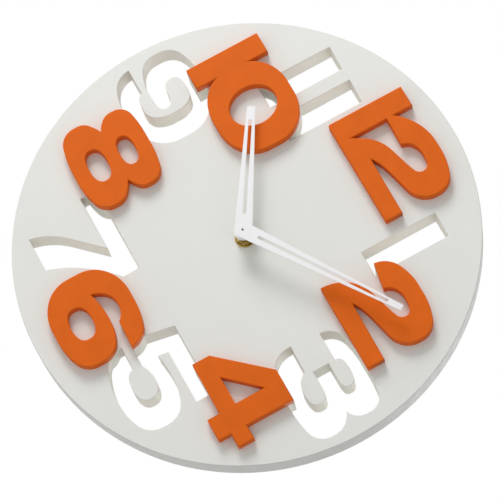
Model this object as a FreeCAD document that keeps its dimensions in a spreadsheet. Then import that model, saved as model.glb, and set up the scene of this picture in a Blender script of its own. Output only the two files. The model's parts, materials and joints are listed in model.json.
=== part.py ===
import FreeCAD, Part
import math
import os
import re
import Sketcher
from FreeCAD import Placement, Rotation, Vector

# Analog wall clock, 350 mm across: a moulded round dial with the odd numerals cut through it and
# the even numerals standing on it, two slotted hands, and a quartz movement behind the centre.
# X runs to three o'clock, Z to twelve o'clock, and Y from the front towards the wall.
# The origin is where the axis of the hands meets the wall.

SIZES = {
    "dial_diameter": 350.0,
    "dial_depth": 18.4,
    "plate_thickness": 2.4,
    "rim_wall": 2.6,
    "opening_wall": 2.4,
    "numeral_height": 7.0,
    "rib_width": 1.6,
    "rib_height": 9.0,
    "rib_count": 8,
    "pocket_size": 57.0,
    "pocket_wall": 1.8,
    "pocket_height": 12.0,
    "shaft_hole": 8.4,
    "gasket_thickness": 0.5,
    "gasket_width": 22.0,
    "washer_diameter": 15.4,
    "washer_thickness": 0.8,
    "nut_flats": 12.0,
    "nut_height": 3.2,
    "thread_diameter": 8.0,
    "thread_play": 0.1,
    "bushing_end": 26.0,
    "bushing_bore": 5.36,
    "bushing_seat": 8.29,
    "case_size": 56.0,
    "case_corner": 2.5,
    "case_wall": 1.2,
    "case_back": 0.1,
    "case_inside": 14.5,
    "bay_top": -11.35,
    "bay_half_length": 26.4,
    "bay_inside": 14.7,
    "train_bottom": -10.35,
    "pillar_width": 2.6,
    "cover_thickness": 1.2,
    "cover_gap": 0.1,
    "hanger_width": 14.0,
    "hanger_height": 32.0,
    "hanger_thickness": 2.2,
    "hanger_hole": 5.0,
    "battery_diameter": 14.2,
    "battery_length": 49.2,
    "battery_nub_diameter": 5.5,
    "battery_nub_length": 1.2,
    "battery_height": -18.95,
    "battery_level": 7.5,
    "contact_thickness": 0.4,
    "contact_gap": 0.1,
    "contact_back": 4.0,
    "contact_width": 8.0,
    "contact_height": 14.0,
    "hour_tube": 5.0,
    "hour_bore": 3.7,
    "hour_hand_back": 31.0,
    "minute_tube": 3.4,
    "minute_hand_back": 35.5,
    "hand_thickness": 0.6,
    "hour_eye": 3.8,
    "hour_hand_length": 100.5,
    "hour_hand_root": 13.6,
    "hour_hand_tip": 6.2,
    "hour_slot_start": 14.0,
    "hour_slot_end": 83.0,
    "hour_slot_width": 2.6,
    "hour_hand_angle": 301.6,
    "minute_hand_length": 133.0,
    "minute_hand_root": 12.4,
    "minute_hand_tip": 4.6,
    "minute_slot_start": 13.0,
    "minute_slot_end": 121.5,
    "minute_slot_width": 2.2,
    "minute_hand_angle": 57.6,
    "minute_eye": 1.8,
    "train_module": 0.4,
    "wheel_addendum": 0.9,
    "wheel_dedendum": 1.0,
    "pinion_addendum": 0.8,
    "pinion_dedendum": 1.15,
    "leaves": 6,
    "cannon_leaves": 10,
    "motion_leaves": 8,
    "setting_leaves": 10,
    "motion_teeth": 30,
    "hour_teeth": 32,
    "centre_teeth": 45,
    "third_teeth": 48,
    "second_teeth": 36,
    "intermediate_teeth": 30,
    "wheel_thickness": 0.6,
    "third_angle": 40.0,
    "intermediate_angle": 120.0,
    "rotor_angle": 150.0,
    "motion_angle": 170.0,
    "setting_angle": 180.0,
    "arbor_diameter": 1.0,
    "arbor_back": 1.4,
    "arbor_front": 14.4,
    "end_play": 0.1,
    "second_level": 3.8,
    "second_pinion_end": 7.1,
    "intermediate_pinion_level": 3.2,
    "intermediate_level": 5.2,
    "third_level": 6.2,
    "third_pinion_end": 9.8,
    "centre_level": 8.6,
    "cannon_end": 11.4,
    "motion_level": 10.2,
    "motion_pinion_end": 13.0,
    "motion_bore": 1.2,
    "motion_stud": 1.1,
    "hour_level": 12.0,
    "rotor_pinion_level": 4.7,
    "rotor_pinion_end": 6.3,
    "magnet_diameter": 5.0,
    "magnet_level": 7.6,
    "magnet_end": 10.4,
    "magnet_window": 6.4,
    "pinion_window": 4.6,
    "setting_pinion_level": 9.9,
    "setting_pinion_end": 11.1,
    "setting_arbor": 1.8,
    "setting_hole": 2.1,
    "knob_diameter": 10.0,
    "knob_level": 0.3,
    "knob_end": 2.3,
    "knob_slot": 1.2,
    "well_inside": 11.6,
    "well_width": 13.6,
    "well_floor": 2.6,
    "well_end": 3.4,
    "plate_level": 7.4,
    "plate_end": 8.2,
    "stator_end": 9.0,
    "stator_gap": 5.4,
    "core_end": 10.0,
    "core_width": 3.0,
    "coil_height": 21.5,
    "core_overhang": 3.5,
    "coil_diameter": 8.0,
    "coil_left": -19.5,
    "coil_length": 23.5,
    "board_level": 11.2,
    "board_end": 12.2,
    "board_left": 15.0,
    "board_bottom": -9.8,
    "board_width": 11.3,
    "board_height": 25.8,
    "chip_width": 4.6,
    "chip_right": 2.0,
    "chip_up": 14.0,
    "chip_height": 0.8,
    "crystal_diameter": 2.0,
    "crystal_length": 6.0,
    "crystal_right": 7.5,
    "crystal_up": 4.0,
    "strip_overlap": 2.0,
    "strip_width": 1.2,
}

doc = FreeCAD.newDocument("wall_clock")
sheet = doc.addObject("Spreadsheet::Sheet", "sizes")
for row, (alias, value) in enumerate(SIZES.items(), start=1):
    sheet.set("A%d" % row, alias)
    sheet.set("B%d" % row, str(value))
    sheet.setAlias("B%d" % row, alias)
doc.recompute()

# Lays a drawing in the plane of the dial: its x to the right, its y up, its normal to the viewer.
FACING = Rotation(Vector(1, 0, 0), 90)
PARTS = []


def size(alias):
    return float(sheet.get(alias))


def cells(rule):
    """Turns a rule such as "dial_depth + 1" into an expression that reads the sheet."""
    return re.sub(r"([a-z]\w+)(?!\w*\()", r"sizes.\1", rule)


def bind(thing, name, rule):
    thing.setExpression(name, cells(rule))


def keep(thing, label):
    thing.Label = label
    PARTS.append(thing)
    return thing


def unit(heading):
    return Vector(math.cos(math.radians(heading)), math.sin(math.radians(heading)), 0)


class Pen:
    """Draws an outline: straight lines, and curves made of tangent arcs between two headings."""

    def __init__(self, x, y, heading=0.0):
        self.start = Vector(x, y, 0)
        self.at = self.start
        self.heading = heading
        self.edges = []
        self.path = [self.start]

    def face(self, heading):
        self.heading = heading
        return self

    def line(self, x, y):
        """Draws a line, as one with the line before it where that already runs the same way."""
        start, target = self.at, Vector(x, y, 0)
        ahead = abs(unit(self.heading).cross(target - start).z) < 0.00001
        if ahead and self.edges and isinstance(self.edges[-1], Part.LineSegment):
            start = self.edges.pop().StartPoint
            self.path.pop()
        self.edges.append(Part.LineSegment(start, target))
        self.path.append(target)
        step = target - start
        self.heading = math.degrees(math.atan2(step.y, step.x))
        self.at = target
        return self

    def close(self):
        return self.line(self.start.x, self.start.y)

    def through(self, middle, target):
        self.edges.append(Part.Arc(self.at, middle, target))
        self.path.extend([middle, target])
        self.at = target
        return self

    def bend(self, middle_x, middle_y, x, y):
        return self.through(Vector(middle_x, middle_y, 0), Vector(x, y, 0))

    def arc(self, target, tangent):
        chord = target - self.at
        half_turn = math.atan2(tangent.cross(chord).z, tangent.dot(chord))
        rise = math.tan(half_turn / 2) / 2
        middle = (self.at + target) / 2 + Vector(chord.y, -chord.x, 0) * rise
        self.through(middle, target)
        return math.degrees(2 * math.atan2(chord.y, chord.x) - math.atan2(tangent.y, tangent.x))

    def pair(self, target, first, last):
        chord = target - self.at
        along = chord.dot(first + last)
        spread = 1 - first.dot(last)
        reach = math.sqrt(along ** 2 + 2 * spread * chord.dot(chord)) - along
        reach = reach / (2 * spread)
        joint = (self.at + first * reach + target - last * reach) / 2
        self.arc(target, unit(self.arc(joint, first)))

    def curve(self, x, y, heading, straight=0.0):
        """Draws two arcs, with a straight run before and after them that makes the curve squarer."""
        start, target = self.at, Vector(x, y, 0)
        first, last = unit(self.heading), unit(heading)
        near, far = start, target
        if straight:
            corner = start + first * ((target - start).cross(last).z / first.cross(last).z)
            near = start + (corner - start) * straight
            far = target + (corner - target) * straight
            self.line(near.x, near.y)
        self.pair(far, first, last)
        if straight:
            self.line(target.x, target.y)
        self.heading = heading
        return self


def oval(x, y, half_width, half_height, straight=0.0):
    pen = Pen(x, y + half_height, 0)
    pen.curve(x + half_width, y, -90, straight)
    pen.curve(x, y - half_height, 180, straight)
    pen.curve(x - half_width, y, 90, straight)
    pen.curve(x, y + half_height, 0, straight)
    return pen


def straightened(pen):
    """Returns an outline that runs straight between the ends and the middles of a pen's arcs."""
    other = Pen(pen.start.x, pen.start.y)
    for point in pen.path[1:]:
        other.line(point.x, point.y)
    return other


def bar(left, bottom, right, top):
    return Pen(left, bottom).line(right, bottom).line(right, top).line(left, top).close()


# Outlines of the odd numerals, which are openings in the dial.


def one_outline():
    return [bar(53.9, 68.7, 74.5, 130.5)]


def three_outline():
    pen = Pen(93.2, 11.9, 80)
    pen.curve(128.0, 28.6, 0, 0.13)
    pen.curve(163.5, 12.5, -90, 0.19)
    pen.curve(154.8, 0.2, 200)
    pen.face(-20)
    pen.curve(166.0, -15.0, -90)
    pen.curve(128.0, -34.3, 180, 0.13)
    pen.curve(91.6, -11.4, 92, 0.13)
    pen.line(113.5, -11.8)
    pen.face(-62)
    pen.curve(128.5, -20.3, 0)
    pen.curve(140.5, -12.7, 90, 0.13)
    pen.curve(127.0, -6.3, 180, 0.19)
    pen.line(116.6, -6.3)
    pen.line(116.6, 6.4)
    pen.line(129.0, 6.4)
    pen.curve(139.0, 11.8, 90, 0.13)
    pen.curve(126.5, 18.0, 180, 0.13)
    pen.curve(116.2, 11.9, -85)
    return [pen.close()]


def five_outline():
    pen = Pen(34.4, -77.3)
    pen.line(93.8, -77.3)
    pen.line(93.8, -90.7)
    pen.line(49.7, -90.7)
    pen.line(48.4, -98.7)
    pen.face(8)
    pen.curve(66.0, -97.1, 0)
    pen.curve(98.5, -118.5, -90, 0.13)
    pen.curve(65.0, -140.6, 180, 0.10)
    pen.curve(29.5, -119.4, 90)
    pen.line(48.3, -119.4)
    pen.face(-80)
    pen.curve(62.0, -127.0, 0)
    pen.curve(75.1, -117.7, 90, 0.13)
    pen.curve(62.5, -108.6, 180, 0.13)
    pen.curve(49.7, -112.3, 210)
    pen.line(33.0, -112.3)
    pen.line(29.0, -105.0)
    return [pen.close()]


def seven_outline():
    pen = Pen(-90.3, -92.3)
    pen.line(-90.3, -78.8)
    pen.line(-19.3, -78.8)
    pen.line(-19.3, -92.3)
    pen.face(-140)
    pen.curve(-53.2, -140.5, -108)
    pen.line(-81.0, -140.5)
    pen.face(78)
    pen.curve(-44.6, -92.3, 45)
    return [pen.close()]


def nine_outline():
    pen = Pen(-165.2, -12.6, -80)
    pen.curve(-131.5, -31.7, 0, 0.13)
    pen.curve(-95.2, 0.5, 90, 0.14)
    pen.curve(-131.5, 32.8, 180, 0.14)
    pen.curve(-166.3, 11.5, -90, 0.13)
    pen.curve(-137.0, -7.9, 0, 0.13)
    pen.curve(-123.0, -1.5, 90)
    pen.curve(-134.0, 4.5, 180)
    pen.curve(-143.3, 12.0, 90)
    pen.curve(-130.0, 19.5, 0, 0.13)
    pen.curve(-116.5, 1.5, -90, 0.19)
    pen.curve(-131.0, -17.9, 180, 0.13)
    pen.curve(-143.3, -12.6, 105)
    return [pen.close()]


def eleven_outline():
    return [bar(-103.5, 66.0, -82.9, 128.1), bar(-72.0, 66.0, -51.6, 128.1)]


# Outlines of the even numerals, which stand on the dial.


def two_inside(pen, right=0.0, up=0.0):
    """Runs from the foot of the two up its sweep and round the inside of its hook."""
    pen.curve(89.4 + right, 60.2 + up, 15)
    pen.line(104.0 + right, 64.1 + up)
    pen.curve(115.3 + right, 72.0 + up, 90)
    pen.curve(102.5 + right, 78.2 + up, 180)
    pen.curve(89.0 + right, 67.9 + up, 262)


def two_outside(pen, right=0.0, up=0.0):
    """Runs round the outside of the two's hook, down its sweep and along its base."""
    pen.curve(103.0 + right, 91.7 + up, 0, 0.13)
    pen.curve(136.3 + right, 71.5 + up, -90, 0.11)
    pen.curve(122.0 + right, 54.0 + up, -167)
    pen.line(106.0 + right, 50.3 + up)
    pen.curve(87.6 + right, 43.0 + up, -145)
    pen.line(136.3 + right, 42.4 + up)
    pen.line(136.3 + right, 28.5 + up)
    return pen.close()


def rounded_bar(left, bottom, right, top, corner):
    pen = Pen(left + corner, bottom)
    pen.line(right, bottom)
    pen.line(right, top)
    pen.line(left, top)
    pen.line(left, bottom + corner)
    pen.curve(left + corner, bottom, 0)
    return pen


def two_parts():
    pen = Pen(65.3, 28.5, 90)
    pen.curve(71.4, 48.2, 55)
    two_inside(pen)
    pen.line(67.6, 68.6)
    pen.face(84)
    return [[two_outside(pen)]]


def four_parts():
    pen = Pen(103.8, -29.1)
    pen.line(130.0, -29.1)
    pen.line(130.0, -67.4)
    pen.line(141.4, -67.4)
    pen.line(141.4, -80.5)
    pen.line(130.0, -80.5)
    pen.line(130.0, -90.6)
    pen.line(112.3, -90.6)
    pen.line(112.3, -80.5)
    pen.line(69.6, -80.5)
    pen.line(69.6, -66.4)
    pen.close()
    counter = Pen(111.4, -43.0).line(111.4, -67.0).line(88.8, -67.0).close()
    return [[pen, counter]]


def six_parts():
    pen = Pen(-15.8, -120.3, 20)
    pen.curve(5.5, -116.7, 0)
    pen.curve(34.6, -137.0, -90, 0.13)
    pen.curve(0.0, -158.1, 180, 0.13)
    pen.curve(-35.6, -126.0, 90, 0.14)
    pen.curve(0.0, -93.8, 0, 0.14)
    pen.curve(35.3, -112.5, -80, 0.13)
    pen.line(12.8, -111.6)
    pen.face(125)
    pen.curve(1.0, -106.1, 180)
    pen.curve(-15.8, -120.3, -105, 0.09)
    counter = oval(0.2, -136.5, 13.6, 8.5, 0.16)
    return [[pen, counter]]


def eight_parts():
    pen = Pen(-128.3, -54.3, 155)
    pen.curve(-138.7, -41.5, 90)
    pen.curve(-105.0, -25.7, 0, 0.16)
    pen.curve(-72.3, -42.5, -90, 0.16)
    pen.curve(-83.0, -54.3, -155)
    pen.face(-25)
    pen.curve(-70.0, -69.0, -90)
    pen.curve(-104.0, -88.2, 180, 0.14)
    pen.curve(-141.2, -68.5, 90, 0.14)
    pen.curve(-128.3, -54.3, 25)
    upper = oval(-105.8, -43.8, 13.2, 6.4, 0.19)
    lower = oval(-106.0, -68.6, 14.9, 7.6, 0.19)
    return [[pen, upper, lower]]


def ten_parts():
    """The nought's left side runs into the one."""
    stem = bar(-139.6, 24.7, -121.9, 85.5)
    pen = Pen(-87.7, 86.9, 0)
    pen.curve(-52.3, 54.8, -90, 0.15)
    pen.curve(-87.7, 22.7, 180, 0.15)
    pen.curve(-123.6, 54.8, 90, 0.15)
    pen.curve(-87.7, 86.9, 0, 0.15)
    counter = oval(-88.3, 55.0, 15.8, 18.6)
    return [[stem], [pen, counter]]


def twelve_parts():
    """The two's foot and the tip of its hook run into the one."""
    right, up = -92.4, 66.8
    stem = rounded_bar(-44.9, 95.3, -27.2, 157.5, 3.0)
    pen = Pen(-29.5, 95.3)
    pen.line(-29.5, 100.0)
    pen.face(68)
    pen.curve(71.4 + right, 48.2 + up, 55)
    two_inside(pen, right, up)
    pen.line(-29.5, 135.5)
    pen.line(-29.5, 138.5)
    pen.face(52)
    return [[stem], [two_outside(pen, right, up)]]


OPENINGS = {
    "one": one_outline,
    "three": three_outline,
    "five": five_outline,
    "seven": seven_outline,
    "nine": nine_outline,
    "eleven": eleven_outline,
}
NUMERALS = {
    "numeral_2": two_parts,
    "numeral_4": four_parts,
    "numeral_6": six_parts,
    "numeral_8": eight_parts,
    "numeral_10": ten_parts,
    "numeral_12": twelve_parts,
}


# Sketches and the features made from them. A rule names cells of the sheet, and a level is a
# distance from the wall towards the viewer.


def fill(sketch, pens):
    for pen in pens:
        first = sketch.GeometryCount
        sketch.addGeometry(pen.edges, False)
        count = len(pen.edges)
        for k, edge in enumerate(pen.edges):
            before, after = first + (k - 1) % count, first + k
            ends = [end_at(sketch, index, edge.StartPoint) for index in (before, after)]
            sketch.addConstraint(Sketcher.Constraint("Coincident", before, ends[0], after, ends[1]))
    return sketch


def end_at(sketch, index, point):
    return 1 if sketch.getPoint(index, 1).distanceToPoint(point) < 0.00001 else 2


def ring_in(sketch, centre, diameter):
    circle = Part.Circle(Vector(centre[0], centre[1], 0), Vector(0, 0, 1), 1.0)
    index = sketch.addGeometry(circle, False)
    number = sketch.addConstraint(Sketcher.Constraint("Diameter", index, 2.0))
    bind(sketch, "Constraints[%d]" % number, diameter)


def origin_part(body, role):
    return next(f for f in body.Origin.OriginFeatures if f.Role == role)


def drawn(body, level, pens=(), rings=()):
    sketch = body.newObject("Sketcher::SketchObject", "outline")
    sketch.AttachmentSupport = [(origin_part(body, "XZ_Plane"), "")]
    sketch.MapMode = "FlatFace"
    bind(sketch, "AttachmentOffset.Base.z", level)
    fill(sketch, pens)
    for centre, diameter in rings:
        ring_in(sketch, centre, diameter)
    return sketch


def add(body, start, end, pens=(), rings=()):
    feature = body.newObject("PartDesign::Pad", "pad")
    feature.Profile = drawn(body, start, pens, rings)
    bind(feature, "Length", "%s - (%s)" % (end, start))
    return feature


def cut(body, start, end, pens=(), rings=()):
    feature = body.newObject("PartDesign::Pocket", "pocket")
    feature.Profile = drawn(body, end, pens, rings)
    bind(feature, "Length", "%s - (%s)" % (end, start))
    return feature


def around(body, feature, count):
    pattern = body.newObject("PartDesign::PolarPattern", "pattern")
    pattern.Originals = [feature]
    pattern.Axis = (origin_part(body, "Y_Axis"), [""])
    pattern.Angle = 360.0
    bind(pattern, "Occurrences", count)
    body.Tip = pattern
    return pattern


def new_body(label, centre=(0.0, 0.0)):
    body = doc.addObject("PartDesign::Body", label)
    body.Placement = Placement(Vector(centre[0], 0, centre[1]), Rotation())
    return keep(body, label)


def cylinder(start, end, diameter, centre=(0.0, 0.0)):
    thing = doc.addObject("Part::Cylinder", "cylinder")
    thing.Placement = Placement(Vector(centre[0], 0, centre[1]), FACING)
    bind(thing, "Placement.Base.y", "-(%s)" % start)
    bind(thing, "Height", "%s - (%s)" % (end, start))
    bind(thing, "Radius", "(%s) / 2" % diameter)
    return thing


def box(x, width, start, end, z, height):
    thing = doc.addObject("Part::Box", "box")
    bind(thing, "Placement.Base.x", x)
    bind(thing, "Placement.Base.y", "-(%s)" % end)
    bind(thing, "Placement.Base.z", z)
    bind(thing, "Length", width)
    bind(thing, "Width", "%s - (%s)" % (end, start))
    bind(thing, "Height", height)
    return thing


def lying_cylinder(x, length, diameter, level, z):
    thing = doc.addObject("Part::Cylinder", "cylinder")
    thing.Placement = Placement(Vector(), Rotation(Vector(0, 1, 0), 90))
    bind(thing, "Placement.Base.x", x)
    bind(thing, "Placement.Base.y", "-(%s)" % level)
    bind(thing, "Placement.Base.z", z)
    bind(thing, "Height", length)
    bind(thing, "Radius", "(%s) / 2" % diameter)
    return thing


def eight_sided(start, end, diameter):
    thing = doc.addObject("Part::Prism", "rod")
    thing.Polygon = 8
    thing.Placement = Placement(Vector(), FACING)
    bind(thing, "Placement.Base.y", "-(%s)" % start)
    bind(thing, "Height", "%s - (%s)" % (end, start))
    bind(thing, "Circumradius", "(%s) / 2" % diameter)
    return thing


def lying_rod(x, length, diameter, level, z, sides=12):
    thing = doc.addObject("Part::Prism", "rod")
    thing.Polygon = sides
    thing.Placement = Placement(Vector(), Rotation(Vector(0, 1, 0), 90))
    bind(thing, "Placement.Base.x", x)
    bind(thing, "Placement.Base.y", "-(%s)" % level)
    bind(thing, "Placement.Base.z", z)
    bind(thing, "Height", length)
    bind(thing, "Circumradius", "(%s) / 2" % diameter)
    return thing


def joined(things, name="joined"):
    thing = doc.addObject("Part::MultiFuse", name)
    thing.Shapes = things
    return thing


def without(base, tool, name="trimmed"):
    thing = doc.addObject("Part::Cut", name)
    thing.Base = base
    thing.Tool = tool
    return thing


# The numerals that stand on the dial.


def numeral(label, maker):
    body = new_body(label)
    for pens in maker():
        add(body, "dial_depth", "dial_depth + numeral_height", pens)
    return body


# The dial: a shallow moulded tray, open at the back, with a wall round each opening.


def tray():
    body = doc.addObject("PartDesign::Body", "tray")
    add(body, "0", "dial_depth", (), [((0, 0), "dial_diameter")])
    inside = "dial_diameter - 2 * rim_wall"
    back = "dial_depth - plate_thickness"
    cut(body, "0", back, (), [((0, 0), inside)])
    half = size("pocket_size") / 2
    outer = half + size("pocket_wall")
    frame = [bar(-outer, -outer, outer, outer), bar(-half, -half, half, half)]
    add(body, back + " - pocket_height", back + " + 0.1", frame)
    thin = size("rib_width") / 2
    rim = size("dial_diameter") / 2 - size("rim_wall") / 2
    rib = bar(outer * math.sqrt(2) - 1, -thin, rim, thin)
    feature = add(body, back + " - rib_height", back + " + 0.1", [turned(rib, 22.5)])
    around(body, feature, "rib_count")
    return body


def turned(pen, angle):
    for edge in pen.edges:
        edge.rotate(Placement(Vector(), Rotation(Vector(0, 0, 1), angle)))
    return pen


def face_of(name, pens):
    """Returns the face of an outline, at a level that the standing numerals pass through."""
    sketch = doc.addObject("Sketcher::SketchObject", name + "_outline")
    sketch.Placement = Placement(Vector(0, -size("dial_depth") - size("numeral_height") / 2, 0), FACING)
    fill(sketch, pens)
    face = doc.addObject("Part::Face", name + "_face")
    face.Sources = [sketch]
    face.FaceMakerClass = "Part::FaceMakerBullseye"
    return face


def run_back(face, start, end):
    """Extrudes a face that lies at the numerals' level, then sets it down between two levels."""
    thing = doc.addObject("Part::Extrusion", "run")
    thing.Base = face
    thing.DirMode = "Custom"
    thing.Dir = Vector(0, 1, 0)
    thing.Solid = True
    bind(thing, "LengthFwd", "%s - (%s)" % (end, start))
    bind(thing, "Placement.Base.y", "dial_depth + numeral_height / 2 - (%s)" % end)
    return thing


def dial_shell(numerals):
    """Each opening stops at the numeral that stands beside it, and has a wall round it."""
    standing = doc.addObject("Part::Compound", "standing_numerals")
    standing.Links = numerals
    walls, holes = [], []
    for name, maker in OPENINGS.items():
        pens = maker()
        hole = without(face_of(name, pens), standing, name + "_opening")
        holes.append(run_back(hole, "0 - 1", "dial_depth + 1"))
        wider = doc.addObject("Part::Offset2D", name + "_wider")
        wider.Source = face_of(name + "_wall", [straightened(pen) for pen in pens])
        wider.Join = "Intersection"
        bind(wider, "Value", "opening_wall")
        walls.append(run_back(wider, "0", "dial_depth - plate_thickness / 2"))
    blank = joined([tray()] + walls, "walled_tray")
    holes.append(cylinder("0", "dial_depth + 1", "shaft_hole"))
    shell = keep(without(blank, joined(holes, "all_openings")), "dial_shell")
    shell.Refine = True
    return shell


# Toothed wheels. Each has one arbor, and teeth set on the gaps of the wheel that it drives.


def meshing(phase, teeth, mate, direction):
    """Returns the phase that sets a wheel's gaps on the teeth of the wheel beside it."""
    return direction + 180.0 - (phase - direction) * teeth / mate - 180.0 / mate


def toothed(body, kind, count, start, end, phase, module=1.0):
    """Adds a disc with pointed teeth between two levels. Its kind is wheel or pinion."""
    teeth, step = int(size(count)), size("train_module") * module
    pitch = step * teeth / 2
    radii = (pitch + step * size(kind + "_addendum"), pitch - step * size(kind + "_dedendum"))
    pen = None
    for k in range(2 * teeth):
        turn = math.radians(phase + 180.0 * k / teeth)
        x, y = radii[k % 2] * math.cos(turn), radii[k % 2] * math.sin(turn)
        pen = pen.line(x, y) if pen else Pen(x, y)
    add(body, start, end, [pen.close()])


def shaft(body, start, end, diameter):
    add(body, start, end, (), [((0, 0), diameter)])


def flat_sided(diameter, sides, centre=(0.0, 0.0)):
    """Returns an even outline of a few flat sides, whose corners lie on a diameter."""
    radius, pen = size(diameter) / 2, None
    for k in range(sides):
        turn = 2 * math.pi * k / sides
        x, y = centre[0] + radius * math.cos(turn), centre[1] + radius * math.sin(turn)
        pen = pen.line(x, y) if pen else Pen(x, y)
    return pen.close()


def rod(body, start, end, diameter, centre=(0.0, 0.0), sides=8):
    add(body, start, end, [flat_sided(diameter, sides, centre)])


def bore(body, start, end, diameter, centre=(0.0, 0.0)):
    cut(body, start, end, (), [(centre, diameter)])


def beside(centre, teeth, leaves, angle):
    reach = size("train_module") * (size(teeth) + size(leaves)) / 2
    turn = math.radians(size(angle))
    return (centre[0] + reach * math.cos(turn), centre[1] + reach * math.sin(turn))


CENTRE = (0.0, 0.0)
THIRD = beside(CENTRE, "third_teeth", "leaves", "third_angle")
INTERMEDIATE = beside(CENTRE, "second_teeth", "leaves", "intermediate_angle")
ROTOR = beside(INTERMEDIATE, "intermediate_teeth", "leaves", "rotor_angle")
MOTION = beside(CENTRE, "motion_teeth", "cannon_leaves", "motion_angle")
SETTING = beside(MOTION, "motion_teeth", "setting_leaves", "setting_angle")
# The third pinion drives the centre wheel over the same distance with fewer teeth.
SLOW = (size("third_teeth") + size("leaves")) / (size("centre_teeth") + size("leaves"))


def centre_wheel():
    body = new_body("centre_wheel", CENTRE)
    shaft(body, "centre_level", "minute_hand_back", "minute_tube")
    toothed(body, "wheel", "centre_teeth", "centre_level", "centre_level + wheel_thickness", 0.0, SLOW)
    toothed(body, "pinion", "cannon_leaves", "centre_level", "cannon_end", size("motion_angle"))


def third_wheel():
    body = new_body("third_wheel", THIRD)
    angle = size("third_angle")
    rod(body, "arbor_back", "arbor_front", "arbor_diameter")
    phase = meshing(0.0, size("centre_teeth"), size("leaves"), angle)
    toothed(body, "pinion", "leaves", "third_level", "third_pinion_end", phase, SLOW)
    thick = "third_level + wheel_thickness"
    toothed(body, "wheel", "third_teeth", "third_level", thick, angle + 180.0)


def second_wheel():
    body = new_body("second_wheel", CENTRE)
    rod(body, "arbor_back", "plate_level - end_play", "arbor_diameter")
    back = size("third_angle") + 180.0
    phase = meshing(back, size("third_teeth"), size("leaves"), back)
    toothed(body, "pinion", "leaves", "second_level", "second_pinion_end", phase)
    thick = "second_level + wheel_thickness"
    toothed(body, "wheel", "second_teeth", "second_level", thick, size("intermediate_angle"))


def intermediate_wheel():
    body = new_body("intermediate_wheel", INTERMEDIATE)
    rod(body, "arbor_back", "plate_level - end_play", "arbor_diameter")
    angle = size("intermediate_angle")
    phase = meshing(angle, size("second_teeth"), size("leaves"), angle)
    start, end = "intermediate_pinion_level", "intermediate_level + wheel_thickness"
    toothed(body, "pinion", "leaves", start, "intermediate_level + 0.1", phase)
    toothed(body, "wheel", "intermediate_teeth", "intermediate_level", end, size("rotor_angle"))


def rotor():
    body = new_body("rotor", ROTOR)
    rod(body, "arbor_back", "arbor_front", "arbor_diameter")
    angle = size("rotor_angle")
    phase = meshing(angle, size("intermediate_teeth"), size("leaves"), angle)
    toothed(body, "pinion", "leaves", "rotor_pinion_level", "rotor_pinion_end", phase)
    rod(body, "magnet_level", "magnet_end", "magnet_diameter", sides=16)


def motion_phase():
    angle = size("motion_angle")
    return meshing(angle, size("cannon_leaves"), size("motion_teeth"), angle)


def motion_wheel():
    body = new_body("motion_wheel", MOTION)
    thick = "motion_level + wheel_thickness"
    toothed(body, "wheel", "motion_teeth", "motion_level", thick, motion_phase())
    back = size("motion_angle") + 180.0
    toothed(body, "pinion", "motion_leaves", "motion_level", "motion_pinion_end", back)
    hole = square_at((0.0, 0.0), "motion_bore")
    cut(body, "motion_level - 1", "motion_pinion_end + 1", [hole])


def hour_wheel():
    body = new_body("hour_wheel", CENTRE)
    shaft(body, "hour_level", "hour_hand_back", "hour_tube")
    back = size("motion_angle") + 180.0
    phase = meshing(back, size("motion_leaves"), size("hour_teeth"), back)
    toothed(body, "wheel", "hour_teeth", "hour_level", "hour_level + wheel_thickness", phase)
    cut(body, "hour_level - 1", "hour_hand_back + 1", [flat_sided("hour_bore", 12)])


def setting_knob():
    body = new_body("setting_knob", SETTING)
    angle = size("setting_angle")
    phase = meshing(motion_phase(), size("motion_teeth"), size("setting_leaves"), angle)
    rod(body, "knob_level", "arbor_front", "setting_arbor")
    rod(body, "knob_level", "knob_end", "knob_diameter", sides=24)
    toothed(body, "pinion", "setting_leaves", "setting_pinion_level", "setting_pinion_end", phase)
    across, half = size("knob_diameter") / 2 + 1, size("knob_slot") / 2
    cut(body, "knob_level - 1", "knob_level + knob_slot", [bar(-across, -half, across, half)])


# The hands.


def hand(name, eye_sides):
    """A tapering blade that points up, square at the tip, round at the foot and slotted along."""
    body = new_body(name + "_hand")
    length, root = size(name + "_hand_length"), size(name + "_hand_root") / 2
    tip, radius = size(name + "_hand_tip") / 2, size(name + "_slot_width") / 2
    start, end = size(name + "_slot_start"), size(name + "_slot_end")
    blade = Pen(-root, 0).bend(0, -root, root, 0)
    blade.line(tip, length).line(-tip, length).close()
    slot = Pen(-radius, start + radius).bend(0, start, radius, start + radius)
    slot.line(radius, end - radius).bend(0, end, -radius, end - radius).close()
    back = name + "_hand_back"
    eye = flat_sided(name + "_eye", eye_sides)
    add(body, back, back + " + hand_thickness", [blade, slot, eye])
    body.Placement = Placement(Vector(), Rotation(Vector(0, 1, 0), size(name + "_hand_angle")))


# The movement's housing and what holds it to the dial.


def cut_square(half, corner):
    pen = Pen(half, -half + corner).line(half, half - corner).line(half - corner, half)
    pen.line(-half + corner, half).line(-half, half - corner)
    pen.line(-half, -half + corner).line(-half + corner, -half)
    return pen.line(half - corner, -half).close()


def square_at(centre, width):
    half = size(width) / 2
    return bar(centre[0] - half, centre[1] - half, centre[0] + half, centre[1] + half)


PILLARS = [(-10.7, -7.6), (12.9, -7.4), (12.9, 14.6), (-16.4, 14.9)]
BOARD_POSTS = [(17.5, 14.0), (24.0, -7.5)]


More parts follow.
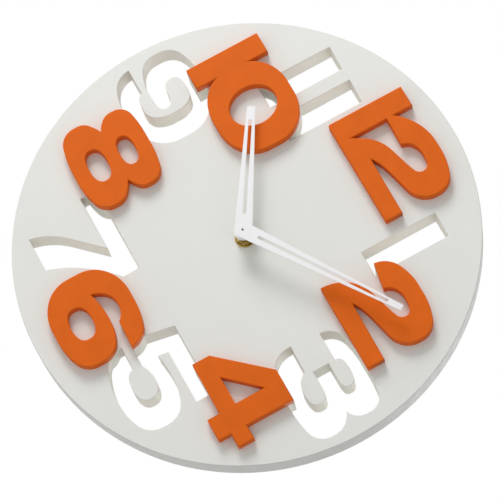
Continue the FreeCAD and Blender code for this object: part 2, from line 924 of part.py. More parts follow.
def movement_case():
    body = new_body("movement_case")
    half = size("case_size") / 2
    front = "dial_depth - plate_thickness - gasket_thickness"
    add(body, "case_back", front, [cut_square(half, size("case_corner"))])
    wide, high = size("hanger_width") / 2, size("hanger_height")
    loop = Pen(-wide, half - 2).line(wide, half - 2).line(wide, high + wide / 2)
    loop.line(wide / 2, high + wide).line(-wide / 2, high + wide).line(-wide, high + wide / 2).close()
    add(body, "case_back", "case_back + hanger_thickness", [loop])
    bore(body, "case_back - 1", "case_back + hanger_thickness + 1", "hanger_hole", (0.0, high))
    inner = half - size("case_wall")
    cut(body, "case_back - 1", "case_inside", [bar(-inner, size("train_bottom"), inner, inner)])
    reach = size("bay_half_length")
    cut(body, "case_back - 1", "bay_inside", [bar(-reach, -inner, reach, size("bay_top"))])
    posts = [square_at(at, "pillar_width") for at in PILLARS]
    add(body, "plate_end", "case_inside + 0.1", posts)
    posts = [square_at(at, "pillar_width") for at in BOARD_POSTS]
    add(body, "board_end", "case_inside + 0.1", posts)
    rod(body, "motion_level - 0.4", "case_inside + 0.1", "motion_stud", MOTION)
    cut(body, "case_inside - 1", "dial_depth", [flat_sided("bushing_seat", 12)])
    slots = [bar(25.0, size("bay_top") - 1, 26.2, size("train_bottom") + 1)]
    slots.append(bar(-26.2, size("bay_top") - 1, -25.0, size("train_bottom") + 1))
    cut(body, "contact_back - contact_gap", "board_level + contact_gap", slots)


def back_cover():
    body = new_body("back_cover")
    gap = size("cover_gap")
    inner = size("case_size") / 2 - size("case_wall") - gap
    plate = bar(-inner, size("train_bottom") + gap, inner, inner)
    inside = "case_back + cover_thickness"
    add(body, "case_back", inside, [plate])
    add(body, "case_back", "well_end", [square_at(SETTING, "well_width")])
    cut(body, "case_back - 1", "well_floor", [square_at(SETTING, "well_inside")])
    cut(body, "well_floor - 1", "well_end + 1", [flat_sided("setting_hole", 8, SETTING)])


def train_plate():
    body = new_body("train_plate")
    plate = Pen(-12.0, -9.0).line(14.5, -9.0).line(14.5, 16.2).line(-18.0, 16.2)
    plate.line(-18.0, 6.5).line(-12.0, 6.5).close()
    holes = [square_at(ROTOR, "magnet_window"), square_at(THIRD, "pinion_window")]
    add(body, "plate_level", "plate_end", [plate] + holes)


def clamping_parts():
    back = "dial_depth - plate_thickness"
    pad = box("-gasket_width / 2", "gasket_width", back + " - gasket_thickness", back,
              "-gasket_width / 2", "gasket_width")
    keep(without(pad, eight_sided(back + " - 1", back + " + 1", "shaft_hole + 0.8")), "gasket")
    top = "dial_depth + washer_thickness"
    disc = cylinder("dial_depth", top, "washer_diameter")
    keep(without(disc, cylinder("dial_depth", top, "shaft_hole")), "washer")
    nut = doc.addObject("Part::Prism", "hexagon")
    nut.Polygon = 6
    nut.Placement = Placement(Vector(), FACING)
    bind(nut, "Placement.Base.y", "-(%s)" % top)
    bind(nut, "Circumradius", "nut_flats / 2 / cos(30)")
    bind(nut, "Height", "nut_height")
    drill = cylinder(top, top + " + nut_height", "thread_diameter + thread_play")
    keep(without(nut, drill), "hex_nut")


def threaded_bushing():
    body = new_body("threaded_bushing")
    shaft(body, "case_inside", "bushing_end", "thread_diameter")
    cut(body, "case_inside - 1", "bushing_end + 1", [flat_sided("bushing_bore", 12)])


# The electric parts.


def stator():
    """The iron frame of the motor: a U whose foot surrounds the rotor and whose legs hold the coil."""
    body = new_body("stator")
    x, z = ROTOR
    left = size("coil_left") - size("core_overhang")
    right = size("coil_left") + size("coil_length") + size("core_overhang")
    top = size("coil_height") + size("core_width") / 2
    pen = Pen(left, z - 1.6).line(x - 4.0, z - 1.6).line(x - 4.0, z - 3.2).line(x + 3.0, z - 3.2)
    pen.line(x + 3.0, z - 0.4).line(right, z - 0.4).line(right, top).line(right - 3.0, top)
    pen.line(right - 3.0, z + 2.6).line(x + 3.0, z + 3.3).line(x - 4.0, z + 3.3)
    pen.line(x - 4.0, z + 1.6).line(left + 3.0, z + 1.6).line(left + 3.0, top).line(left, top).close()
    add(body, "plate_end", "stator_end", [pen, square_at(ROTOR, "stator_gap")])


def coil_parts():
    middle = "(stator_end + core_end) / 2"
    core = box("coil_left - core_overhang", "coil_length + 2 * core_overhang", "stator_end", "core_end",
               "coil_height - core_width / 2", "core_width")
    keep(core, "coil_core")
    winding = lying_rod("coil_left", "coil_length", "coil_diameter", middle, "coil_height")
    window = box("coil_left - 1", "coil_length + 2", "stator_end", "core_end",
                 "coil_height - core_width / 2", "core_width")
    keep(without(winding, window), "coil")


def board_parts():
    board = box("board_left", "board_width", "board_level", "board_end", "board_bottom", "board_height")
    keep(board, "circuit_board")
    chip = box("board_left + chip_right", "chip_width", "board_level - chip_height", "board_level",
               "board_bottom + chip_up", "chip_width")
    keep(chip, "clock_chip")
    crystal = doc.addObject("Part::Prism", "crystal")
    crystal.Polygon = 8
    bind(crystal, "Placement.Base.x", "board_left + crystal_right")
    bind(crystal, "Placement.Base.y", "-(board_level - crystal_diameter / 2)")
    bind(crystal, "Placement.Base.z", "board_bottom + crystal_up")
    bind(crystal, "Circumradius", "crystal_diameter / 2")
    bind(crystal, "Height", "crystal_length")
    keep(crystal, "quartz_crystal")


def battery_parts():
    at = ("battery_level", "battery_height")
    can = lying_cylinder("-(battery_length + battery_nub_length) / 2", "battery_length",
                         "battery_diameter", *at)
    nub = lying_rod("0", "(battery_length + battery_nub_length) / 2", "battery_nub_diameter", *at)
    keep(joined([can, nub]), "battery")
    end = "(battery_length + battery_nub_length) / 2 + contact_gap"
    low, tall = "battery_height - contact_width / 2", "contact_height"
    start = "-(%s) - contact_thickness" % end
    for label, x in (("contact_plus", end), ("contact_minus", start)):
        blade = box(x, "contact_thickness", "contact_back", "board_level", low, tall)
        strips = [blade]
        if label == "contact_minus":
            length = "board_left + strip_overlap + (%s)" % end
            strips.append(box(x, length, "board_level - strip_width", "board_level",
                              "train_bottom + 0.1", "contact_thickness"))
        keep(joined(strips) if len(strips) > 1 else blade, label)


def check_and_write():
    doc.recompute()
    for thing in doc.Objects:
        if "Invalid" in thing.State or "Error" in thing.State:
            raise RuntimeError("failed: %s %s %s" % (thing.Name, thing.Label, thing.State))
    os.makedirs("parts", exist_ok=True)
    for part in PARTS:
        shape = part.Shape
        if shape.isNull() or not shape.isValid() or len(shape.Solids) != 1:
            raise RuntimeError("bad shape: %s %d" % (part.Label, len(shape.Solids)))
        print("%-20s %10.1f mm3 %5d faces" % (part.Label, shape.Volume, len(shape.Faces)))
        shape.exportStep("parts/%s.step" % part.Label)


numerals = [numeral(label, maker) for label, maker in NUMERALS.items()]
dial_shell(numerals)
hand("hour", 12)
hand("minute", 8)
clamping_parts()
threaded_bushing()
movement_case()
back_cover()
train_plate()
centre_wheel()
third_wheel()
second_wheel()
intermediate_wheel()
rotor()
motion_wheel()
hour_wheel()
setting_knob()
stator()
coil_parts()
board_parts()
battery_parts()
check_and_write()
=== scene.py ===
import json
import math
import bmesh
import bpy
from mathutils import Matrix, Vector


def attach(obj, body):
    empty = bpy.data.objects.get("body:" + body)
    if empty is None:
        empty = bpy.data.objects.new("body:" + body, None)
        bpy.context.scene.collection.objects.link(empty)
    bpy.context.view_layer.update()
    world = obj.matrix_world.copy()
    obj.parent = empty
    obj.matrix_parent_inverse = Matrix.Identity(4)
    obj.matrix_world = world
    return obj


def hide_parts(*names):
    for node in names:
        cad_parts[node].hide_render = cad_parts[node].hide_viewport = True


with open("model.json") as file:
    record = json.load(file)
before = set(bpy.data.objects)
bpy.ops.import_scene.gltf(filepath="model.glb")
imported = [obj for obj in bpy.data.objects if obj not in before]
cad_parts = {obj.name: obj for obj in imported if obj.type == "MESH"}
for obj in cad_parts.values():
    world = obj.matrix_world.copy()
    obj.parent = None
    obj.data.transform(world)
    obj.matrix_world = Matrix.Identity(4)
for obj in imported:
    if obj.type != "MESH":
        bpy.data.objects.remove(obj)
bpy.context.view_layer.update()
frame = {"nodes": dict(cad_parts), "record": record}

nodes = frame["nodes"]

MM = 0.001
SAME_PLACE = 1e-6
UP = Vector((0, 0, 1))

# How far these stand in front of the wall, in millimetres.
DIAL_FACE = 18.4
NUMERAL_FACE = 25.4
WASHER_FACE = 19.2
BODIES = {
    node: body for body, members in frame["record"]["behaviour"]["bodies"].items() for node in members
}


# Finishes. Each is a base colour with a soft mottle, a fine grain in the relief, and its own gloss.


class Finish:
    """A material built up in layers on one shader."""

    def __init__(self, name, colour, gloss, metal=0.0):
        self.material = bpy.data.materials.new(name)
        self.material.use_nodes = True
        self.tree = self.material.node_tree
        self.shader = self.tree.nodes["Principled BSDF"]
        self.place = self.add("ShaderNodeTexCoord").outputs["Object"]
        self.shader.inputs["Base Color"].default_value = (*colour, 1)
        self.shader.inputs["Roughness"].default_value = gloss
        self.shader.inputs["Metallic"].default_value = metal
        self.colour, self.tone, self.relief = colour, None, None

    def add(self, kind, **settings):
        node = self.tree.nodes.new(kind)
        for key, value in settings.items():
            setattr(node, key, value)
        return node

    def join(self, start, end):
        self.tree.links.new(start, end)

    def noise(self, size, detail=3.0):
        """Noise whose spots are about this many millimetres across."""
        node = self.add("ShaderNodeTexNoise")
        node.inputs["Scale"].default_value = 1 / (size * MM)
        node.inputs["Detail"].default_value = detail
        self.join(self.place, node.inputs["Vector"])
        return node.outputs["Fac"]

    def spread(self, source, low, high, start=0.3, end=0.7):
        node = self.add("ShaderNodeMapRange")
        for key, value in (("From Min", start), ("From Max", end), ("To Min", low), ("To Max", high)):
            node.inputs[key].default_value = value
        self.join(source, node.inputs["Value"])
        return node.outputs["Result"]

    def mottle(self, size, amount):
        """Lets the colour wander a little darker and lighter."""
        ramp = self.add("ShaderNodeValToRGB")
        for stop, shade in zip(ramp.color_ramp.elements, (1 - amount, 1 + amount)):
            stop.color = (*[min(1, c * shade) for c in self.colour], 1)
        ramp.color_ramp.elements[0].position = 0.3
        ramp.color_ramp.elements[1].position = 0.7
        self.join(self.noise(size), ramp.inputs["Fac"])
        self.tone = ramp.outputs["Color"]
        self.join(self.tone, self.shader.inputs["Base Color"])
        return self

    def tinted(self, share, colour):
        """Lays another colour over the mottled one, by a share that varies over the piece."""
        blend = self.add("ShaderNodeMix", data_type="RGBA", blend_type="MIX")
        self.join(share, blend.inputs["Factor"])
        self.join(self.tone, blend.inputs["A"])
        blend.inputs["B"].default_value = (*colour, 1)
        self.tone = blend.outputs["Result"]
        self.join(self.tone, self.shader.inputs["Base Color"])
        return self

    def sides(self, colour):
        """Paints light on the faces that look sideways, such as walls and rims: a lighter, creamier
        colour that stands for the light the walls of the openings catch.
        """
        looks = self.add("ShaderNodeTexCoord").outputs["Normal"]
        apart = self.add("ShaderNodeSeparateXYZ")
        self.join(looks, apart.inputs["Vector"])
        size = self.add("ShaderNodeMath", operation="ABSOLUTE")
        self.join(apart.outputs["Y"], size.inputs[0])
        return self.tinted(self.spread(size.outputs["Value"], 1.0, 0.0, 0.25, 0.8), colour)

    def rim_painted_shade(self, radius, colour):
        """Lays painted shade, a darker colour, on what lies further than this many millimetres from the
        dial's axis, such as the rim.
        """
        flat = self.add("ShaderNodeVectorMath", operation="MULTIPLY")
        self.join(self.place, flat.inputs[0])
        flat.inputs[1].default_value = (1, 0, 1)
        reach = self.add("ShaderNodeVectorMath", operation="LENGTH")
        self.join(flat.outputs["Vector"], reach.inputs[0])
        share = self.spread(reach.outputs["Value"], 0.0, 1.0, radius * MM, (radius + 0.2) * MM)
        return self.tinted(share, colour)

    def band(self, axis, start, end, colour):
        """Colours the stretch between two places along an axis, in millimetres."""
        apart = self.add("ShaderNodeSeparateXYZ")
        self.join(self.place, apart.inputs["Vector"])
        edge = 0.08 * MM
        share = self.spread(apart.outputs[axis], 0.0, 1.0, start * MM - edge, start * MM + edge)
        rest = self.spread(apart.outputs[axis], 1.0, 0.0, end * MM - edge, end * MM + edge)
        both = self.add("ShaderNodeMath", operation="MULTIPLY")
        self.join(share, both.inputs[0])
        self.join(rest, both.inputs[1])
        return self.tinted(both.outputs["Value"], colour)

    def specular(self, level):
        self.shader.inputs["Specular IOR Level"].default_value = level
        return self

    def gloss(self, size, low, high):
        self.join(self.spread(self.noise(size, 4), low, high), self.shader.inputs["Roughness"])
        return self

    def grain(self, size, depth, detail=2.0):
        """Adds relief of this depth, in millimetres."""
        bump = self.add("ShaderNodeBump")
        bump.inputs["Distance"].default_value = depth * MM
        self.join(self.noise(size, detail), bump.inputs["Height"])
        if self.relief:
            self.join(self.relief, bump.inputs["Normal"])
        self.relief = bump.outputs["Normal"]
        self.join(self.relief, self.shader.inputs["Normal"])
        return self


def finishes():
    made = {
        "dial": Finish("moulded_white", (0.745, 0.75, 0.715), 0.55)
        # Painted light: the sideways faces get a lighter cream that stands for the light on the walls of
        # the openings.
        # Painted shade: the rim, beyond 174.4 mm from the axis, gets a darker grey for the shade it lies
        # in.
        .mottle(60, 0.012).sides((0.80, 0.78, 0.71)).rim_painted_shade(174.4, (0.64, 0.645, 0.615))
        .gloss(9, 0.5, 0.62).grain(0.5, 0.012).grain(40, 0.03),
        "numeral": Finish("moulded_orange", (0.695, 0.121, 0.003), 0.5)
        .mottle(14, 0.04).gloss(5, 0.44, 0.58).grain(0.45, 0.018).specular(0.16),
        "hand": Finish("lacquered_white", (0.87, 0.863, 0.875), 0.35)
        .mottle(25, 0.01).gloss(6, 0.3, 0.42).grain(0.35, 0.006),
        "brass": Finish("turned_brass", (0.38, 0.28, 0.09), 0.25, 1.0)
        .mottle(5, 0.16).gloss(2, 0.2, 0.3).grain(0.25, 0.004),
        "rubber": Finish("black_rubber", (0.02, 0.02, 0.02), 0.8)
        .mottle(4, 0.2).gloss(2, 0.7, 0.9).grain(0.3, 0.02),
        "housing": Finish("black_housing", (0.022, 0.022, 0.024), 0.5)
        .mottle(8, 0.12).gloss(3, 0.42, 0.6).grain(0.35, 0.03).grain(6, 0.03),
        "frame_plastic": Finish("ivory_frame", (0.66, 0.64, 0.58), 0.45)
        .mottle(6, 0.02).gloss(3, 0.4, 0.55).grain(0.4, 0.02),
        "gear": Finish("ivory_wheel", (0.74, 0.72, 0.64), 0.4)
        .mottle(3, 0.02).gloss(2, 0.34, 0.5).grain(0.3, 0.01),
        "knob": Finish("white_knob", (0.72, 0.72, 0.70), 0.42)
        .mottle(5, 0.02).gloss(2, 0.36, 0.5).grain(0.3, 0.02),
        "magnet": Finish("dark_magnet", (0.05, 0.05, 0.055), 0.45, 0.6)
        .mottle(2, 0.1).gloss(1, 0.35, 0.55).grain(0.2, 0.01),
        "iron": Finish("stamped_iron", (0.50, 0.50, 0.51), 0.35, 1.0)
        .mottle(3, 0.06).gloss(1.5, 0.28, 0.45).grain(0.3, 0.01),
        "winding": Finish("enamelled_copper", (0.62, 0.22, 0.08), 0.25, 0.8)
        .mottle(1, 0.1).gloss(1, 0.2, 0.35).grain(0.12, 0.03),
        "board": Finish("lacquered_board", (0.05, 0.13, 0.06), 0.3)
        .mottle(3, 0.08).gloss(2, 0.25, 0.4).grain(0.5, 0.01),
        "resin": Finish("black_resin", (0.012, 0.012, 0.012), 0.3)
        .mottle(2, 0.1).gloss(1, 0.2, 0.4).grain(0.4, 0.03),
        "plated": Finish("plated_strip", (0.74, 0.73, 0.70), 0.25, 1.0)
        .mottle(2, 0.04).gloss(1.2, 0.18, 0.34).grain(0.3, 0.006),
        "cell": Finish("cell_sleeve", (0.60, 0.62, 0.64), 0.3, 0.6)
        .mottle(20, 0.02).band("X", -24.9, -13.0, (0.07, 0.10, 0.14))
        .gloss(8, 0.28, 0.34).grain(0.6, 0.002),
    }
    return {key: finish.material for key, finish in made.items()}


FINISHES = finishes()
SLOTS = {part["node"]: part["material_slot"] for part in frame["record"]["subparts"]}


def dress(piece, slot):
    piece.data.materials.clear()
    piece.data.materials.append(FINISHES[slot])


# Pieces.


def merged(node):
    """A closed mesh of a node, whose flat faces are whole again."""
    mesh = bmesh.new()
    mesh.from_mesh(nodes[node].data)
    bmesh.ops.remove_doubles(mesh, verts=mesh.verts, dist=SAME_PLACE)
    bmesh.ops.dissolve_limit(mesh, angle_limit=math.radians(0.6), verts=mesh.verts, edges=mesh.edges)
    return mesh


def bevel(mesh, edges, width, segments):
    """Bevels these edges by this many millimetres."""
    bmesh.ops.bevel(
        mesh, geom=edges, offset=width * MM, offset_type="OFFSET", affect="EDGES", segments=segments,
        profile=0.5, material=-1, clamp_overlap=False,
    )


def soften(mesh, width, chosen=None, segments=3, least=28):
    """Rounds the chosen edges that turn by more than the least number of degrees."""
    def sharp(edge):
        return len(edge.link_faces) == 2 and edge.calc_face_angle(0) > math.radians(least)

    edges = [e for e in mesh.edges if sharp(e) and (not chosen or chosen(e))]
    bevel(mesh, edges, width, segments)


def at_level(level):
    """Chooses the edges that lie this many millimetres in front of the wall."""
    return lambda e: all(abs(v.co.y + level * MM) < 1e-5 for v in e.verts)


def keeps_level(edge):
    """Tells whether both ends of an edge are equally far from the wall."""
    return abs(edge.verts[0].co.y - edge.verts[1].co.y) < SAME_PLACE


def piece_from(mesh, name, body, slot, stands_for=(), smooth=40):
    data = bpy.data.meshes.new(name)
    mesh.to_mesh(data)
    mesh.free()
    data.shade_smooth()
    data.set_sharp_from_angle(angle=math.radians(smooth))
    piece = bpy.data.objects.new(name, data)
    bpy.context.scene.collection.objects.link(piece)
    shading = piece.modifiers.new("even_shading", "WEIGHTED_NORMAL")
    shading.keep_sharp = True
    dress(piece, slot)
    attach(piece, body)
    if stands_for:
        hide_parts(*stands_for)
    return piece


def turned(profile, steps=64):
    """Spins an outline of (radius, distance from the wall) round the dial's axis.

    It is a closed ring, or runs from the axis back to the axis.
    """
    mesh = bmesh.new()
    points = [mesh.verts.new((radius * MM, -level * MM, 0)) for radius, level in profile]
    edges = [mesh.edges.new(pair) for pair in zip(points, points[1:])]
    if profile[0][0]:
        edges.append(mesh.edges.new((points[-1], points[0])))
    bmesh.ops.spin(
        mesh, geom=points + edges, cent=(0, 0, 0), axis=(0, 1, 0), dvec=(0, 0, 0), angle=2 * math.pi,
        steps=steps, use_merge=True,
    )
    bmesh.ops.remove_doubles(mesh, verts=mesh.verts, dist=SAME_PLACE)
    bmesh.ops.recalc_face_normals(mesh, faces=mesh.faces)
    return mesh


def dial():
    mesh = merged("dial_shell")
    soften(mesh, 0.5, at_level(DIAL_FACE))
    piece_from(mesh, "dial", "clock", "dial", ["dial_shell"])


def near(mesh, x, z, half_x, half_z):
    """Takes the points within this many millimetres of a place on the dial, at every level."""
    return [
        v for v in mesh.verts
        if abs(v.co.x - x * MM) < (half_x + 0.1) * MM and abs(v.co.z - z * MM) < (half_z + 0.1) * MM
    ]


def rounder(mesh, x, z, half_x, half_z, share, narrowed):
    """Draws a counter towards an oval by a share, and narrows it from its left."""
    for vert in near(mesh, x, z, half_x, half_z):
        across, along = (vert.co.x / MM - x) / half_x, (vert.co.z / MM - z) / half_z
        pull = 1 + share * (1 / math.hypot(across, along) - 1)
        vert.co.x = (x + half_x - half_x * (1 - across * pull) * narrowed) * MM
        vert.co.z = (z + half_z * along * pull) * MM


def sharper(mesh, x, z, radius, wanted):
    """Gives a rounded lower left corner, which would come to a point at this place, a smaller radius."""
    for vert in near(mesh, x + radius / 2, z + radius / 2, radius / 2, radius / 2):
        vert.co.x = (x + (vert.co.x / MM - x) * wanted / radius) * MM
        vert.co.z = (z + (vert.co.z / MM - z) * wanted / radius) * MM


def raised_numerals():
    meshes = {number: merged("numeral_" + number) for number in ("12", "2", "4", "6", "8", "10")}
    rounder(meshes["8"], x=-105.8, z=-43.8, half_x=13.2, half_z=6.4, share=0.6, narrowed=0.92)
    rounder(meshes["8"], x=-106.0, z=-68.6, half_x=14.9, half_z=7.6, share=0.6, narrowed=0.92)
    rounder(meshes["6"], x=0.2, z=-136.5, half_x=13.6, half_z=8.5, share=0.4, narrowed=0.96)
    sharper(meshes["12"], x=-44.9, z=95.3, radius=3.0, wanted=1.4)
    hook = near(meshes["2"], x=67.6, z=68.6, half_x=0.2, half_z=0.2)
    bmesh.ops.translate(meshes["2"], vec=(0, 0, -1.8 * MM), verts=hook)
    for number, mesh in meshes.items():
        soften(mesh, 0.8, at_level(NUMERAL_FACE))
        piece_from(mesh, "raised_" + number, "clock", "numeral", ["numeral_" + number])


def lengthen_slot(mesh):
    """Brings the end of the hour hand's slot nearer to the hand's tip."""
    angle = math.radians(301.6)
    end, width, longer = 83.0, 2.6, 6.6
    along = Vector((math.sin(angle), 0, math.cos(angle)))
    across = Vector((math.cos(angle), 0, -math.sin(angle)))

    def at_slot_end(point):
        aside = abs(point.dot(across)) / MM
        return end - width < point.dot(along) / MM < end + 0.1 and aside < width / 2 + 0.05

    tip = [v for v in mesh.verts if at_slot_end(v.co)]
    bmesh.ops.translate(mesh, vec=along * longer * MM, verts=tip)


def hands():
    for name in ("hour", "minute"):
        mesh = merged(name + "_hand")
        if name == "hour":
            lengthen_slot(mesh)
        soften(mesh, 0.14, segments=2)
        piece_from(mesh, name + "_blade", name, "hand", [name + "_hand"])


def ring_washer():
    """A turned washer with broken edges and a fine groove in its face."""
    profile = [
        (4.2, 18.4), (7.5, 18.4), (7.7, 18.55), (7.7, 19.0), (7.55, 19.15), (7.35, 19.2),
        (6.95, 19.2), (6.87, 19.1), (6.79, 19.2), (4.5, 19.2), (4.2, 19.0),
    ]
    piece_from(turned(profile, 96), "ring_washer", "clock", "brass", ["washer"])


def clamping_nut():
    """A hexagon with a chamfered hole, whose corners are turned away on both faces."""
    flats, height, hole_radius = 12, 3.2, 4.05
    turned_radius, slope = 5.9, math.radians(28)
    mesh = bmesh.new()
    ring = bmesh.ops.create_circle(mesh, segments=6, radius=flats / math.sqrt(3) * MM)["verts"]
    bmesh.ops.rotate(mesh, verts=ring, matrix=Matrix.Rotation(math.radians(90), 3, "X"))
    bmesh.ops.subdivide_edges(mesh, edges=mesh.edges[:], cuts=11, use_grid_fill=False)
    hole = bmesh.ops.duplicate(mesh, geom=mesh.verts[:] + mesh.edges[:])["geom"]
    for vert in (v for v in hole if isinstance(v, bmesh.types.BMVert)):
        vert.co *= hole_radius * MM / vert.co.length
    bmesh.ops.bridge_loops(mesh, edges=mesh.edges[:])
    side = bmesh.ops.extrude_face_region(mesh, geom=mesh.faces[:])["geom"]
    far = [v for v in side if isinstance(v, bmesh.types.BMVert)]
    bmesh.ops.translate(mesh, vec=(0, -height * MM, 0), verts=far)
    bmesh.ops.translate(mesh, vec=(0, -WASHER_FACE * MM, 0), verts=mesh.verts)
    bmesh.ops.recalc_face_normals(mesh, faces=mesh.faces)
    rims = [e for e in mesh.edges if e.calc_face_angle(0) > math.radians(60) and keeps_level(e)]
    reached = (hole_radius + 0.05) * MM
    inner = [e for e in rims if all(math.hypot(v.co.x, v.co.z) < reached for v in e.verts)]
    bevel(mesh, inner, 0.35, segments=1)
    outer = [e for e in rims if e.is_valid and e not in inner]
    bevel(mesh, outer, 0.12, segments=1)
    middle = -(WASHER_FACE + height / 2) * MM
    for vert in mesh.verts:
        reach = math.hypot(vert.co.x, vert.co.z) - turned_radius * MM
        if reach > 0:
            away = abs(vert.co.y - middle)
            inward = reach * math.tan(slope) * away / (height / 2 * MM)
            vert.co.y += math.copysign(min(inward, away), middle - vert.co.y)
    piece_from(mesh, "clamping_nut", "clock", "brass", ["hex_nut"], 24)


def threaded_tube():
    """The tube through the dial, with a thread on the part that stands out of the housing."""
    root, crest = 3.62, 3.98
    start, pitch, turns = 16.4, 0.75, 12
    profile = [(2.6, 14.5), (3.7, 14.5), (3.7, 16.0)]
    for turn in range(turns):
        level = start + turn * pitch
        profile += [(root, level), (crest, level + 0.34), (crest, level + 0.42)]
    profile += [(root, 25.5), (root, 25.8), (3.4, 26.0), (2.8, 26.0), (2.6, 25.8)]
    piece_from(turned(profile, 72), "threaded_tube", "clock", "brass", ["threaded_bushing"], 60)


def minute_arbor():
    """Rounds the end that carries the hand, and puts a pin end in the hand's eye whose dark finish is
    painted shade for the hollow there.
    """
    front_end = -24 * MM
    mesh = merged("centre_wheel")
    soften(mesh, 0.06, lambda e: all(v.co.y < front_end for v in e.verts), segments=2)
    piece_from(mesh, "minute_arbor", "minute", SLOTS["centre_wheel"], ["centre_wheel"])
    # The pin end is real, but its dark finish is painted shade that stands for the shade inside the
    # hand's eye.
    pin = turned([(0, 35.5), (0.75, 35.5), (0.75, 35.58), (0.6, 35.66), (0, 35.66)], 24)
    piece_from(pin, "pin_end_painted_shade", "minute", "magnet")


def battery():
    """A size AA cell: a steel can with its cap and foot, in a plain two-tone sleeve."""
    centre = Vector((0, -7.5, -18.95)) * MM
    can = [
        (0, -25.2), (4.6, -25.2), (4.9, -25.0), (6.3, -25.0), (6.6, -24.8), (6.6, 23.2), (5.6, 23.5),
        (4.4, 23.5), (4.2, 23.8), (2.75, 23.8), (2.7, 25.0), (2.5, 25.2), (0, 25.2),
    ]
    sleeve = [
        (5.9, -24.95), (6.7, -24.95), (7.0, -24.8), (7.1, -24.4), (7.1, 22.9), (7.0, 23.4), (6.7, 23.7),
        (5.9, 23.72), (5.8, 23.6), (6.5, 23.3), (6.62, 22.8), (6.62, -24.6), (5.9, -24.85),
    ]
    lie = Matrix.Translation(centre) @ Matrix.Rotation(math.radians(90), 4, "Z")
    for name, profile, slot in (("cell_can", can, "plated"), ("cell_sleeve", sleeve, "cell")):
        mesh = turned(profile, 72)
        bmesh.ops.transform(mesh, matrix=lie, verts=mesh.verts)
        piece_from(mesh, name, "battery", slot, ["battery"])


def setting_knob():
    """The knob's rim is notched in the middle of each of its flats."""
    notch = 0.4
    mesh = merged("setting_knob")
    centre = Vector((-15.88, 0, 1.39)) * MM

    def from_centre(point):
        return Vector((point.x - centre.x, 0, point.z - centre.z))

    def on_rim(face):
        upright = len(face.verts) == 4 and abs(face.normal.y) < 0.1
        return upright and from_centre(face.calc_center_median()).length > 4.8 * MM

    across = [e for e in mesh.edges if keeps_level(e) and any(on_rim(f) for f in e.link_faces)]
    made = bmesh.ops.subdivide_edges(mesh, edges=across, cuts=1, use_grid_fill=True)
    for vert in {v for v in made["geom_inner"] if isinstance(v, bmesh.types.BMVert)}:
        vert.co -= from_centre(vert.co).normalized() * notch * MM
    soften(mesh, 0.05, segments=1, least=50)
    piece_from(mesh, "notched_knob", "setting", "knob", ["setting_knob"], 20)


def on_outline(half):
    """Chooses the edges of the housing that lie on its outline or on its hanging loop."""
    def lies(vert):
        x, z = abs(vert.co.x), abs(vert.co.z)
        return max(x, z) > half * MM or x + z > (2 * half - 2.2) * MM
    return lambda e: all(lies(v) for v in e.verts)


def rounded_copies():
    """Gives these pieces their moulded or stamped edges and keeps the rest of their shape."""
    for node, width, chosen in (
        ("movement_case", 0.12, on_outline(27.9)), ("back_cover", 0.2, None), ("gasket", 0.1, None),
        ("contact_plus", 0.06, None), ("contact_minus", 0.06, None), ("hour_wheel", 0.08, None),
    ):
        mesh = merged(node)
        soften(mesh, width, chosen, segments=2)
        piece_from(mesh, node + "_edged", BODIES[node], SLOTS[node], [node])


def plain_nodes():
    """Gives every node its finish, also those that stay hidden inside the housing."""
    for name, thing in nodes.items():
        dress(thing, SLOTS[name])


# The room: a pale floor, a white surround and soft lamps.


def camera():
    lens = bpy.data.cameras.new("camera")
    lens.lens, lens.sensor_width = 200.8, 36.0
    lens.clip_end = 20
    eye = bpy.data.objects.new("camera", lens)
    right, up = Vector((0.47048, 0.10497, 0.87614)), Vector((-0.80748, -0.34917, 0.47545))
    back = Vector((0.35583, -0.93116, -0.07952))
    turn = Matrix((right, up, back)).transposed().to_4x4()
    place = Vector((0.7428, -1.9354, -0.1651))
    eye.matrix_world = Matrix.Translation(place) @ turn
    bpy.context.scene.collection.objects.link(eye)
    bpy.context.scene.camera = eye
    return right, up, back


def lamp(name, towards, distance, width, power):
    """A square soft lamp that stands in this direction from the clock and faces it."""
    light = bpy.data.lights.new(name, "AREA")
    light.shape, light.size, light.energy = "SQUARE", width, power
    thing = bpy.data.objects.new(name, light)
    way = towards.normalized()
    facing = way.to_track_quat("Z", "Y").to_matrix().to_4x4()
    thing.matrix_world = Matrix.Translation(way * distance) @ facing
    bpy.context.scene.collection.objects.link(thing)


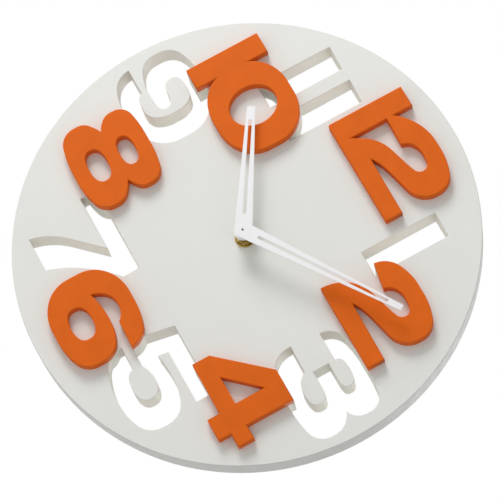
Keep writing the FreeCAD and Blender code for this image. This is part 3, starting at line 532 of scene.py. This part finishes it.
def by_ray(tree, for_eye, for_rest):
    """One value for rays from the eye, a mirror or a clear thing, and another for the rest."""
    rays = tree.nodes.new("ShaderNodeLightPath")
    seen = rays.outputs["Is Camera Ray"]
    for kind in ("Is Glossy Ray", "Is Transmission Ray"):
        either = tree.nodes.new("ShaderNodeMath")
        either.operation = "MAXIMUM"
        tree.links.new(seen, either.inputs[0])
        tree.links.new(rays.outputs[kind], either.inputs[1])
        seen = either.outputs[0]
    scale = tree.nodes.new("ShaderNodeMapRange")
    scale.inputs["To Min"].default_value = for_rest
    scale.inputs["To Max"].default_value = for_eye
    tree.links.new(seen, scale.inputs["Value"])
    return scale.outputs["Result"]


def surround(tint, ambient):
    """Seen directly or in gloss it is white, and it lights the clock with a softer level."""
    world = bpy.data.worlds.new("room")
    bpy.context.scene.world = world
    world.use_nodes = True
    glow = world.node_tree.nodes["Background"]
    glow.inputs["Color"].default_value = (*tint, 1)
    world.node_tree.links.new(by_ray(world.node_tree, 1.0, ambient), glow.inputs["Strength"])


def floor():
    """A pale floor that keeps the clock's shadow and is seen as white beside it."""
    half_side, depth = 6, 0.3
    mesh = bmesh.new()
    bmesh.ops.create_grid(mesh, x_segments=1, y_segments=1, size=half_side)
    bmesh.ops.translate(mesh, vec=UP * -depth, verts=mesh.verts)
    data = bpy.data.meshes.new("floor")
    mesh.to_mesh(data)
    mesh.free()
    thing = bpy.data.objects.new("floor", data)
    pale = Finish("pale_floor", (0.86, 0.86, 0.86), 0.8).mottle(300, 0.01)
    pale.shader.inputs["Emission Color"].default_value = (1, 1, 1, 1)
    pale.join(by_ray(pale.tree, for_eye=0.55, for_rest=0.0), pale.shader.inputs["Emission Strength"])
    data.materials.append(pale.material)
    bpy.context.scene.collection.objects.link(thing)


def room():
    right, up, back = camera()
    surround(tint=(1, 1, 1), ambient=0.44)
    lamp("key_lamp", Vector((-0.817, -0.53, 0.228)), distance=2.4, width=0.96, power=38.4)
    lamp("fill_lamp", back - up * 0.2 + right * 0.7, distance=2.0, width=1.4, power=3)
    lamp("back_lamp", Vector((0.3, 0.85, 0.45)), distance=1.8, width=1.0, power=6)
    floor()
    bpy.context.scene.view_settings.view_transform = "Standard"


plain_nodes()
dial()
raised_numerals()
hands()
ring_washer()
clamping_nut()
threaded_tube()
minute_arbor()
battery()
setting_knob()
rounded_copies()
room()
